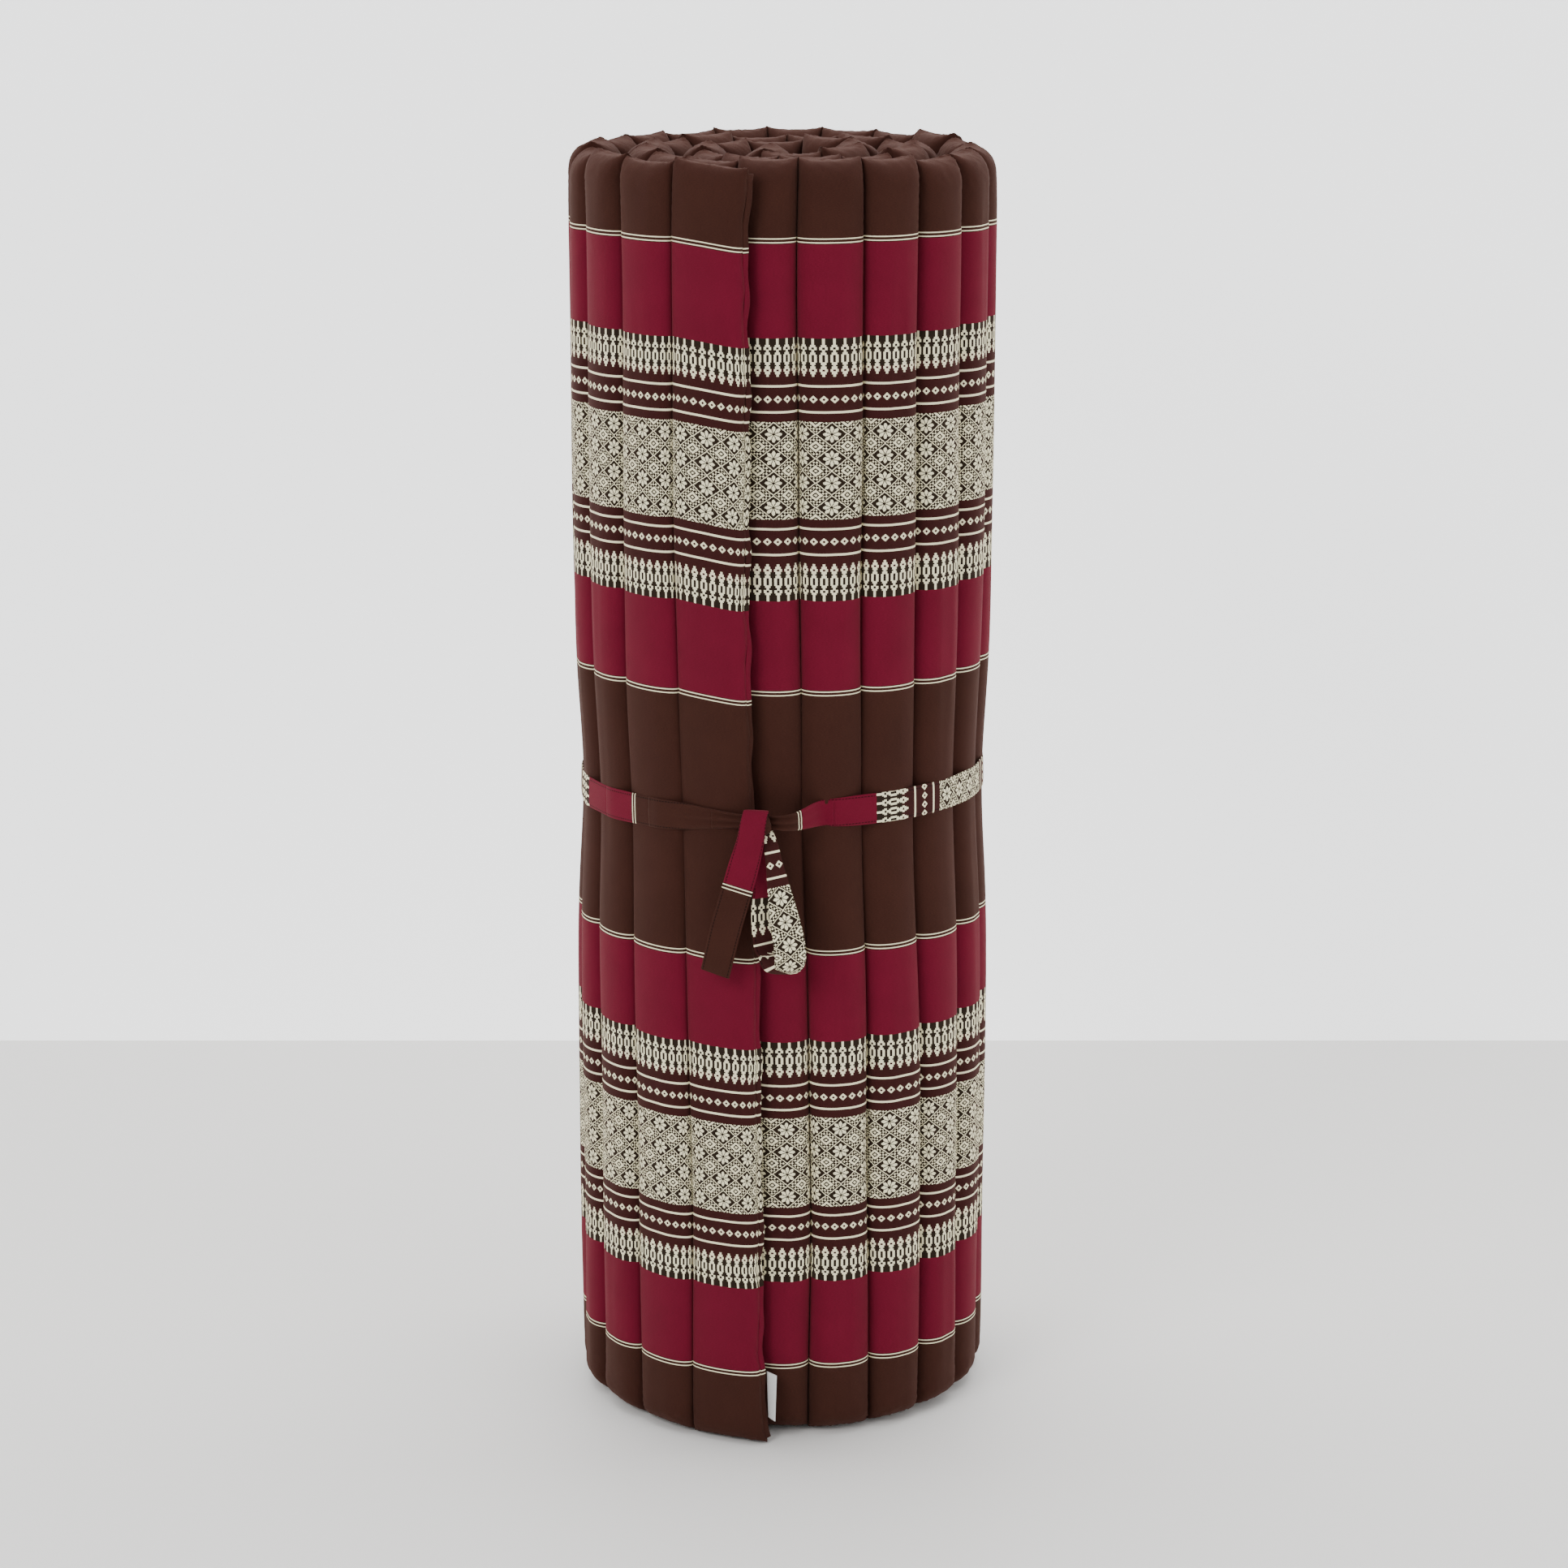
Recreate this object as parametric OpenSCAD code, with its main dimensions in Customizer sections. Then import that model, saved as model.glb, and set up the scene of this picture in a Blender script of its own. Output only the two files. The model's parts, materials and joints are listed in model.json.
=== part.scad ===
// Kapok roll-up mattress: a row of stuffed channels sewn side by side, rolled up,
// standing on its end and tied round the waist with a fabric band.
// Z is the height of the roll. X is to the right and -Y is the front, where the knot is.
// The origin is on the floor, under the middle of the tied roll.

/* [Mattress] */
// Length of every channel, which is the height of the standing roll
mat_w = 1000; // [600:10:1400]
// Number of channels sewn side by side
channels = 44; // [36:1:48]
// Distance between the two seams of a well filled channel
channel_w = 44.8; // [38:0.1:54]
// Thickness of a well filled channel
full_t = 41; // [34:0.5:50]
// Thickness of the flattened channel at the free edge
edge_t = 18; // [12:0.5:30]
// How much wider a channel gets for each millimetre that it is flattened
edge_spread = 0.46; // [0:0.02:0.8]
// Radius of the rounded top and bottom ends of a channel
end_r = 14; // [8:0.5:18]

/* [Casing and filling] */
// Thickness of the cotton casing
casing_t = 1.2; // [0.8:0.1:2]
// Gap between the casing and the kapok filling
filling_gap = 0.3; // [0.2:0.1:1]
// Diameter of the thread in a seam
thread_d = 0.7; // [0.4:0.1:1]
// Width of the hem that closes the free edge and the inner edge
hem_w = 6; // [4:0.5:10]
// Thickness of the hem
hem_t = 2.4; // [1.6:0.2:4]

/* [Roll] */
// Radius of the hollow at the middle of the roll
hollow_r = 26; // [20:1:40]
// Gap between one turn of the roll and the next
turn_gap = 1.2; // [0.8:0.1:3]
// How far the free edge lies to the left of the front, in degrees round the roll
edge_a = 9.5; // [5:0.5:30]
// The channels thin down to the free edge: degrees of the turn for each millimetre that they lose
ease_per_mm = 3.913; // [2:0.001:7]
// Distance between a seam and the end of the stuffed tube beside it
seam_gap = 0.8; // [0.6:0.1:1.5]

/* [Tie] */
// Height of the middle of the band
tie_z = 503; // [300:1:700]
// Width of the band
tie_w = 24; // [18:1:40]
// Thickness of the band, two layers of cotton
tie_t = 1.6; // [1:0.1:3]
// Length of the free tail below the knot
tail_l = 118; // [60:1:200]
// How far the tail leans to the left, in degrees
tail_lean = 17; // [0:1:30]
// Height of the loop of the bow
loop_l = 104; // [60:1:160]
// Depth of the loop of the bow, front to back
loop_d = 18; // [14:1:40]
// How far the loop leans to the right, in degrees
loop_lean = 3; // [0:1:20]
// Radius of the lobes of the knot
knot_r = 8; // [6:0.5:12]

/* [Label] */
// Width of the blank care label
label_w = 12; // [8:1:20]
// Height of the care label
label_h = 38; // [20:1:60]
// Height of the label's lower edge
label_z = 20; // [10:1:200]
// Thickness of the label
label_t = 0.6; // [0.4:0.1:1]

/* [Hidden] */
channel_names = [for (i = [1:channels]) str("channel_", i < 10 ? "0" : "", i)];
$fn = 48;

casing_color = "#58322a";
filling_color = "#e9dfc4";
thread_color = "#3a2019";
tie_color = "#7a1d30";
label_color = "#f2efe8";

// Section of a channel: a squared oval with this many points and this power
oval_points = 36;
oval_power = 3.2;
// The tie band stands this far off the mattress
tie_gap = 0.6;
// The channel that the band is sewn to, at the back of the roll
sewn_channel = 10;

// The outline drops by this much over the outer turn, so that the next turn fits under the free edge
edge_step = edge_t + turn_gap;
// The roll holds the area of all the channels and the hollow
roll_area = channels * channel_w * (full_t + turn_gap) + PI * hollow_r ^ 2;
roll_r = sqrt(roll_area / PI) + edge_step / 2;

// Angles run round the roll from the free edge: 0 at the edge, then left, back, right, and inwards
ease_a = ease_per_mm * (full_t - edge_t);
function thickness(a) = edge_t + (full_t - edge_t) * sin(90 * min(1, a / ease_a));
function outline_r(a) =
    a < 360 ? roll_r - edge_step * a / 360
            : outline_r(a - 360) - thickness(a - 360) - turn_gap;
function seam_r(a) = outline_r(a) - thickness(a) / 2;
function width_at(a) = channel_w + edge_spread * (full_t - thickness(a));
// A channel of this width turns by this much round the roll, found from the radius at its middle
function turn_with(a, r) = 2 * asin(min(1, width_at(a) / 2 / r));
function turn(a) = turn_with(a, seam_r(a + turn_with(a, seam_r(a + 10)) / 2));

seam_a = [for (i = 0, a = 0; i <= channels; a = a + turn(a), i = i + 1) a];

// The whole roll is moved so that the origin is under the middle of its box, knot included
roll_x = 3.5;
roll_y = 13;

function round_roll(a, r) = [roll_x + r * cos(-90 - edge_a - a), roll_y + r * sin(-90 - edge_a - a)];
seam = [for (a = seam_a) round_roll(a, seam_r(a))];

function chord(i) = seam[i + 1] - seam[i];
function direction(i) = atan2(chord(i)[1], chord(i)[0]);
function bend(i) = i < 1 || i >= channels ? 0 : (direction(i - 1) - direction(i) + 720) % 360;
function channel_t(i) = thickness((seam_a[i] + seam_a[i + 1]) / 2);

function power(v) = sign(v) * abs(v) ^ (2 / oval_power);
// The inner half of a tube is cut back on both sides so that it fits inside the curve of the roll
function pinched(x, y, half, left, right) =
    y >= 0 ? x : max(-half - y * tan(left / 2), min(half + y * tan(right / 2), x));

// Section of channel i, seams on the X axis and the outside of the roll at +Y
function section(i, inset) =
    let (half = norm(chord(i)) / 2 - seam_gap - inset, deep = channel_t(i) / 2 - inset)
    [for (k = [0:oval_points - 1])
        let (q = 360 * k / oval_points, y = deep * power(sin(q)))
        [pinched(half * power(cos(q)), y, half, bend(i), bend(i + 1)), y]];

// Outline of channel i from the side: a tall rectangle whose corners are rounded
function side(i, inset) =
    let (deep = channel_t(i) / 2 - inset, r = min(end_r - inset, deep - 2))
    [for (c = [[1, 1, 0], [-1, 1, 90], [-1, -1, 180], [1, -1, 270]], k = [0:6])
        [c[0] * (deep - r) + r * cos(c[2] + k * 15),
         mat_w / 2 + c[1] * (mat_w / 2 - inset - r) + r * sin(c[2] + k * 15)]];

// Puts a piece drawn in the section's frame where channel i is
module at_channel(i) {
    middle = (seam[i] + seam[i + 1]) / 2;
    translate([middle[0], middle[1], 0]) rotate(direction(i)) children();
}

module tube(i, inset) {
    wide = norm(chord(i));
    intersection() {
        linear_extrude(mat_w) polygon(section(i, inset));
        translate([-wide / 2, 0, 0])
            rotate([90, 0, 90]) linear_extrude(wide) polygon(side(i, inset));
    }
}

// One channel: its casing, the kapok inside and the thread of the seam at its outer end
module channel(i) {
    at_channel(i) {
        color(casing_color) difference() {
            tube(i, 0);
            tube(i, casing_t);
        }
        color(filling_color) tube(i, casing_t + filling_gap);
        if (i > 0)
            color(thread_color)
                translate([-norm(chord(i)) / 2, 0, end_r]) cylinder(d = thread_d, h = mat_w - 2 * end_r);
    }
}

// A folded and stitched hem that hangs from a seam, leaning in by the given angle
module hem(lean) {
    rotate(lean) translate([seam_gap / 2, -hem_t / 2, 2]) cube([hem_w, hem_t, mat_w - 4]);
}

// Leans towards the turn below, where the free edge is pressed on to it
hem_lean = 45;

module outer_hem() {
    color(thread_color) at_channel(0)
        translate([-norm(chord(0)) / 2, 0, 0]) rotate(180) hem(hem_lean);
}

module inner_hem() {
    color(thread_color) at_channel(channels - 1)
        translate([norm(chord(channels - 1)) / 2, 0, 0]) hem(-hem_lean);
}

// The band runs from one side of the knot round the whole roll, and rises to the knot at its other side
band_from = 3;
band_to = 350;
band_step = 5;
band_rise_from = 325;
band_in = tie_gap;
band_out = tie_gap + tie_t;

function band_r(a) = outline_r(a) + edge_step * max(0, (a - band_rise_from) / (360 - band_rise_from)) ^ 2;

module tie_band() {
    stations = [for (a = [band_from:band_step:band_to]) a];
    last = len(stations) - 1;
    inside = [for (a = stations) round_roll(a, band_r(a) + band_in)];
    outside = [for (k = [0:last]) round_roll(stations[last - k], band_r(stations[last - k]) + band_out)];
    color(tie_color) translate([0, 0, tie_z - tie_w / 2])
        linear_extrude(tie_w) polygon(concat(inside, outside));
}

// The threads that hold the band to the mattress: a box with a cross in it, no two runs touching
stitch_w = 18;
stitch_d = 0.6;

module stitch(from, to, lift) {
    run = to - from;
    translate([from[0], -lift, from[1]]) rotate([0, 90 - atan2(run[1], run[0]), 0])
        translate([0, 0, stitch_d]) cylinder(d = stitch_d, h = norm(run) - 2 * stitch_d);
}

module tie_stitching() {
    s = stitch_w / 2;
    inner = s - 2 * stitch_d;
    box = [[-s, -s], [s, -s], [s, s], [-s, s]];
    band_a = (seam_a[sewn_channel - 1] + seam_a[sewn_channel]) / 2;
    spot = round_roll(band_a, band_r(band_a) + band_out + 3 * stitch_d);
    color(label_color) translate([spot[0], spot[1], tie_z]) rotate(direction(sewn_channel - 1)) {
        for (k = [0:3])
            stitch(box[k], box[(k + 1) % 4], 0);
        stitch([-inner, -inner], [inner, inner], 0);
        stitch([-inner, inner], [inner, -inner], 2 * stitch_d);
    }
}

// Middle of the knot, in front of the free edge
knot_a = -3;
knot_at = round_roll(knot_a, roll_r + knot_r + 1);

module tie_knot() {
    color(tie_color) translate([knot_at[0], knot_at[1], tie_z + 4]) hull() {
        translate([-knot_r * 0.7, 0, knot_r * 0.4]) sphere(knot_r, $fn = 32);
        translate([knot_r * 0.7, 0, knot_r * 0.2]) sphere(knot_r * 0.9, $fn = 32);
        translate([0, 0, -knot_r * 0.6]) sphere(knot_r * 0.9, $fn = 32);
    }
}

// The tail comes over the front of the knot and lies against the last channel
tail_at = [knot_at[0] - 9, knot_at[1] - knot_r - 1, tie_z + 2];
tail_turn = -12;
tail_back = 6;

module tie_tail() {
    color(tie_color) translate(tail_at) rotate([tail_back, tail_lean, tail_turn])
        translate([-tie_w / 2, -tie_t, -tail_l]) cube([tie_w, tie_t, tail_l]);
}

// The loop comes out under the knot; from its side it is a ring of band, narrow above and round below
loop_at = [knot_at[0] + 14, knot_at[1] + 2, tie_z - knot_r - 4];
loop_turn = 12;

module drop(r, top) {
    circle(r);
    polygon([[-r, 0], [r, 0], [1.2 * tie_t, top], [-1.2 * tie_t, top]]);
}

module tie_loop() {
    r = loop_d / 2;
    color(tie_color) translate(loop_at) rotate([0, -loop_lean, loop_turn])
        translate([-tie_w / 2, 0, r - loop_l]) rotate([90, 0, 90]) linear_extrude(tie_w) difference() {
            drop(r, loop_l - r);
            drop(r - tie_t, loop_l - r - 3 * tie_t);
        }
}

// The label is caught in the hem and lies on the turn below
label_lean = 14;

module care_label() {
    color(label_color) at_channel(0)
        translate([-norm(chord(0)) / 2, 0, label_z]) rotate(180 + hem_lean)
            translate([hem_w + seam_gap, 0, 0]) rotate(label_lean - hem_lean)
                translate([0, -label_t / 2, 0]) cube([label_w, label_t, label_h]);
}

for (i = [0:channels - 1])
    channel(i);
outer_hem();
inner_hem();
tie_band();
tie_stitching();
tie_knot();
tie_tail();
tie_loop();
care_label();
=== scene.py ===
# %% [markdown]
# # A rolled kapok mattress, tied round the middle
# The real thing is a row of 44 stuffed cotton channels, sewn side by side, rolled up and tied with a strip
# of its own cloth. It could be one big displaced cylinder, but then nothing would unroll and every seam
# would be painted on. So each channel is its own stuffed pad here, hinged to its neighbour at the seam.
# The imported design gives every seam's place, and this script adds the cloth.

import json
import math

import bpy
import numpy as np
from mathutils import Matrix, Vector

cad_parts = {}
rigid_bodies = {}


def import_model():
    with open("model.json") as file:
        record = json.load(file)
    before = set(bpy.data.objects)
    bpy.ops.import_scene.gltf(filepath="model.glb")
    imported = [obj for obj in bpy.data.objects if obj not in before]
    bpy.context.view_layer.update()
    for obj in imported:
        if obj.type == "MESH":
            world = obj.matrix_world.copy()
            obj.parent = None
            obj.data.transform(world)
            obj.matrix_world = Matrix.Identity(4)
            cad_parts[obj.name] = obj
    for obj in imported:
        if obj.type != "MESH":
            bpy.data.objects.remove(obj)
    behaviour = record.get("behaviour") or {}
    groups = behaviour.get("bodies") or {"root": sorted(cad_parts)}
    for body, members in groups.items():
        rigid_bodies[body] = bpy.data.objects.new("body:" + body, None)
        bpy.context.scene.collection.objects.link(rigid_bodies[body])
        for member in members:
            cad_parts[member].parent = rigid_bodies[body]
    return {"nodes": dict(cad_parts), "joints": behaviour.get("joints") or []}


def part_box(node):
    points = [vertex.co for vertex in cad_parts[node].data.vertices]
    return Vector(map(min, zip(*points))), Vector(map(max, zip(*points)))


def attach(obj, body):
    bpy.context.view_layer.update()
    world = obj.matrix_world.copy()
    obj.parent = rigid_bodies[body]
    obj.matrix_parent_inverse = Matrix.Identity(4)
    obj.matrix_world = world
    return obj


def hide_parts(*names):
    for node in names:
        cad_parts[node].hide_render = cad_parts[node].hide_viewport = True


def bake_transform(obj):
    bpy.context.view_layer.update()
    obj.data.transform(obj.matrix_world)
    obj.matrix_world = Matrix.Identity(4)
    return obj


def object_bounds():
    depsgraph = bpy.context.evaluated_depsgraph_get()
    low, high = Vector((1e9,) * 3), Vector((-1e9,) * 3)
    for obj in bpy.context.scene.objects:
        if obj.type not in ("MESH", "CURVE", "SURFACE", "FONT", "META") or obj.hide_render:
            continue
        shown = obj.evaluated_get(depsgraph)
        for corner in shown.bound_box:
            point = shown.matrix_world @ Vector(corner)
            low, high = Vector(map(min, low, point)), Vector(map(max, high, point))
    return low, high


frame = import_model()
design_low, design_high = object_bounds()
mm = 0.001
print("design box in metres:", [round(v, 4) for v in (*design_low, *design_high)])


# %% [markdown]
# ## Camera, floor and light
# The camera stands a little under 3 m away, a bit higher than the roll, and looks down by 14.5 degrees with
# a long lens, so the roll shows its front and a thin slice of its top. The light is a studio's: one large
# soft panel at the front left, a wider and weaker one at the right, one overhead and a bright pale room.
# The wall has one side only, so that the roll can also be looked at from behind.

# %% Camera
camera_data = bpy.data.cameras.new("camera")
camera = bpy.data.objects.new("camera", camera_data)
bpy.context.collection.objects.link(camera)
camera.location = (0, -2.919, 1.2525)
camera.rotation_euler = (math.radians(90 - 14.53), 0, 0)
camera_data.lens = 87.3
camera_data.sensor_width = 36
bpy.context.scene.camera = camera


# %% Floor and room light
def soft_panel(name, place, aim, size, watts, color=(1, 1, 1)):
    """A square area light at a place, turned to face the aim point."""
    data = bpy.data.lights.new(name, "AREA")
    data.size = size
    data.energy = watts
    data.color = color
    lamp = bpy.data.objects.new(name, data)
    bpy.context.collection.objects.link(lamp)
    away = np.array(place, float) - np.array(aim, float)
    flat = math.hypot(away[0], away[1])
    lamp.location = place
    lamp.rotation_euler = (math.atan2(flat, away[2]), 0, math.atan2(away[0], -away[1]))
    return lamp


middle = (0, 0, 0.5)
soft_panel("front_left_panel", (-1.9, -2.5, 2.3), middle, 1.4, 56)
soft_panel("right_panel", (2.6, -1.8, 1.3), middle, 1.8, 30)
soft_panel("overhead_panel", (0.2, 0.3, 3.2), middle, 2.4, 44)

world = bpy.data.worlds.new("pale_room")
world.use_nodes = True
world.node_tree.nodes["Background"].inputs["Color"].default_value = (0.93, 0.94, 0.96, 1)
world.node_tree.nodes["Background"].inputs["Strength"].default_value = 0.55
bpy.context.scene.world = world

wall_y = 0.85
bpy.ops.mesh.primitive_plane_add(size=14, location=(0, 0, -0.0005))
floor = bpy.context.object
floor.name = "floor"
floor_finish = bpy.data.materials.new("pale_floor")
floor_finish.use_nodes = True
floor_shader = floor_finish.node_tree.nodes["Principled BSDF"]
floor_shader.inputs["Base Color"].default_value = (0.88, 0.865, 0.84, 1)
floor_shader.inputs["Roughness"].default_value = 0.55
floor.data.materials.append(floor_finish)

bpy.ops.mesh.primitive_plane_add(size=14, location=(0, wall_y, 6.9), rotation=(math.pi / 2, 0, 0))
wall = bpy.context.object
wall.name = "wall"
wall_finish = bpy.data.materials.new("bright_wall")
wall_finish.use_nodes = True
wall_shader = wall_finish.node_tree.nodes["Principled BSDF"]
wall_shader.inputs["Base Color"].default_value = (0.9, 0.9, 0.9, 1)
wall_shader.inputs["Roughness"].default_value = 0.9
wall_shader.inputs["Emission Color"].default_value = (0.97, 0.985, 1, 1)
wall_shader.inputs["Emission Strength"].default_value = 1.25
wall_links = wall_finish.node_tree
which_side = wall_links.nodes.new("ShaderNodeNewGeometry")
see_through = wall_links.nodes.new("ShaderNodeBsdfTransparent")
one_sided = wall_links.nodes.new("ShaderNodeMixShader")
wall_links.links.new(which_side.outputs["Backfacing"], one_sided.inputs[0])
wall_links.links.new(wall_shader.outputs[0], one_sided.inputs[1])
wall_links.links.new(see_through.outputs[0], one_sided.inputs[2])
wall_links.links.new(one_sided.outputs[0], wall_links.nodes["Material Output"].inputs["Surface"])
wall.data.materials.append(wall_finish)
print("camera, floor, wall and 3 panels are in place")


# %% [markdown]
# ## The cloth
# The casing is one woven cotton, brown with red bands and cream figures. A picture of it would do, but a
# weave is a set of rules, so the finish counts threads instead: u runs along the mattress, v from one woven
# edge to the other, and both are rounded to whole threads before any figure is drawn. Every figure is then
# a few comparisons. The cloth repeats above and below its middle, and each half is symmetric about its
# flowered band, so one number, the distance from that band's middle, says where a point is.

# %% Arithmetic on a surface
class Field:
    """A number that changes over a surface. Arithmetic on it adds Math nodes to the tree in use."""

    tree = None

    def __init__(self, socket):
        self.socket = socket

    def math(self, operation, *others):
        node = Field.tree.nodes.new("ShaderNodeMath")
        node.operation = operation
        for slot, value in zip(node.inputs, (self, *others)):
            if isinstance(value, Field):
                Field.tree.links.new(value.socket, slot)
            else:
                slot.default_value = value
        return Field(node.outputs[0])

    def __add__(self, other):
        return self.math("ADD", other)

    def __sub__(self, other):
        return self.math("SUBTRACT", other)

    def __mul__(self, other):
        return self.math("MULTIPLY", other)

    def __lt__(self, other):
        return self.math("LESS_THAN", other)

    def __gt__(self, other):
        return self.math("GREATER_THAN", other)

    def __abs__(self):
        return self.math("ABSOLUTE")


def either(*fields):
    """1 where any of the fields is 1: the largest of them."""
    most = fields[0]
    for field in fields[1:]:
        most = most.math("MAXIMUM", field)
    return most


def between(field, low, high):
    """1 where the field lies between two numbers."""
    return (field > low) * (field < high)


def whole_threads(field, thread):
    """The field rounded to the middle of the thread it falls on."""
    return (field * (1 / thread)).math("FLOOR") * thread + thread / 2


def from_nearest(field, pitch, start=0.0):
    """Distance to the nearest of a row of lines, a pitch apart, one of them at start."""
    return abs(((field - start) * (1 / pitch) + 0.5).math("FRACT") - 0.5) * pitch


# %% Places of the bands, in metres from the middle of the flowered band
flowers_half = 36.5 * mm
thin_line_at = (43.7 * mm, 63.0 * mm)
thin_line_half = 0.85 * mm
diamonds_at = 53.2 * mm
spire_tip_at = 70.1 * mm
spire_foot_at = 98.2 * mm
red_ends_at = 167.0 * mm
double_line_at = (168.1 * mm, 170.9 * mm)
double_line_half = 0.45 * mm
flowers_from_middle = 271.3 * mm
figure_pitch = 7.0 * mm
flower_pitch = (21.3 * mm, 18.25 * mm)
petal_reach = (5.8 * mm, 5.9 * mm)
cell_pitch = 2.1 * mm
thread = 0.82 * mm


# %% The figures
def spire(u, d):
    """Stem, rosette, barrel with a slot, rosette and tip, stacked from the red band inwards.
    Each storey is the part of its height where the distance from the figure's middle, counted in threads,
    is under its half width."""
    thread_wide = figure_pitch / 8
    across = from_nearest(whole_threads(u, thread_wide), figure_pitch, figure_pitch / 2) * (1 / thread_wide)
    up = (d * -1 + spire_foot_at) * (1 / (spire_foot_at - spire_tip_at))
    storeys = (
        (0.00, 0.17, 0.9), (0.17, 0.22, 1.9), (0.22, 0.30, 3.1), (0.30, 0.365, 0.9),
        (0.365, 0.42, 1.9), (0.42, 0.625, 3.1), (0.625, 0.69, 1.9), (0.69, 0.73, 0.9),
        (0.73, 0.80, 1.9), (0.80, 0.87, 3.1), (0.87, 0.935, 1.9), (0.935, 1.0, 0.9),
    )
    solid = either(*[between(up, low, high) * (across < half) for low, high, half in storeys])
    holes = either(between(up, 0.23, 0.29), between(up, 0.43, 0.62), between(up, 0.81, 0.86)) * (across < 0.6)
    return solid * (holes * -1 + 1)


def diamond(u, d):
    """A hollow diamond: the sum of the distances across and along is between two limits."""
    across = from_nearest(u, figure_pitch, figure_pitch / 2)
    along = abs(d - diamonds_at)
    size = whole_threads(across, thread * 0.55) + whole_threads(along, thread * 0.55)
    return between(size, 1.0 * mm, 2.75 * mm)


def lattice(u, s):
    """Diagonal net of eight-petalled flowers and nested diamonds. p is the distance from the nearest flower,
    across plus along, each as a share of half its pitch: 0 on a flower, 1 on the net's lines and 2 in the
    middle of the nested diamonds. A petal's tip is where a wave of the angle is highest, and the gap between
    two petals is where the angle, times the distance, is close to the wave's lowest."""
    fine = 0.42 * mm
    across = from_nearest(whole_threads(u, fine), flower_pitch[0])
    along = from_nearest(whole_threads(s, fine), flower_pitch[1], flower_pitch[1] / 2)
    p = across * (2 / flower_pitch[0]) + along * (2 / flower_pitch[1])
    x, y = across * (1 / petal_reach[0]), along * (1 / petal_reach[1])
    reach = (x * x + y * y).math("SQRT")
    petal = y.math("ARCTAN2", x) * (4 / math.pi)
    limit = (petal * (2 * math.pi)).math("COSINE") * 0.16 + 0.86
    gap = abs(petal.math("FRACT") - 0.5) * reach < 0.065
    flower = (limit > reach) * (gap * -1 + 1) * (reach > 0.09)
    cells = from_nearest(u, cell_pitch) + from_nearest(s, cell_pitch)
    checked = between(p, 1.12, 1.43) * (cells < cell_pitch * 0.45)
    return either(flower, checked, between(p, 0.93, 1.02), between(p, 1.53, 1.75), p > 1.885)


# %% The finish itself
def linear(red, green, blue):
    """A colour as a dyer would match it on a screen, 0 to 255, as the light that it reflects."""
    screen = (red, green, blue)
    return tuple(((c / 255 + 0.055) / 1.055) ** 2.4 if c > 10 else c / 3294.6 for c in screen) + (1,)


brown = linear(57, 30, 23)
wine_brown = linear(54, 22, 21)
olive_brown = linear(38, 28, 20)
red = linear(101, 13, 38)
cream = linear(244, 236, 200)


def mixed(share, first, second):
    """A colour socket that is the first colour where the share is 0 and the second where it is 1."""
    node = Field.tree.nodes.new("ShaderNodeMix")
    node.data_type = "RGBA"
    Field.tree.links.new(share.socket, node.inputs["Factor"])
    for slot, value in ((node.inputs[6], first), (node.inputs[7], second)):
        if isinstance(value, tuple):
            slot.default_value = value
        else:
            Field.tree.links.new(value, slot)
    return node.outputs[2]


def speckle(vector, scale, detail=2.0):
    """Soft random field, 0 to 1, on the given coordinates."""
    node = Field.tree.nodes.new("ShaderNodeTexNoise")
    Field.tree.links.new(vector, node.inputs["Vector"])
    node.inputs["Scale"].default_value = scale
    node.inputs["Detail"].default_value = detail
    return Field(node.outputs["Fac"])


def scaled(vector, factors):
    """The coordinates multiplied by one factor for each axis."""
    node = Field.tree.nodes.new("ShaderNodeVectorMath")
    node.operation = "MULTIPLY"
    Field.tree.links.new(vector, node.inputs[0])
    node.inputs[1].default_value = factors
    return node.outputs[0]


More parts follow.
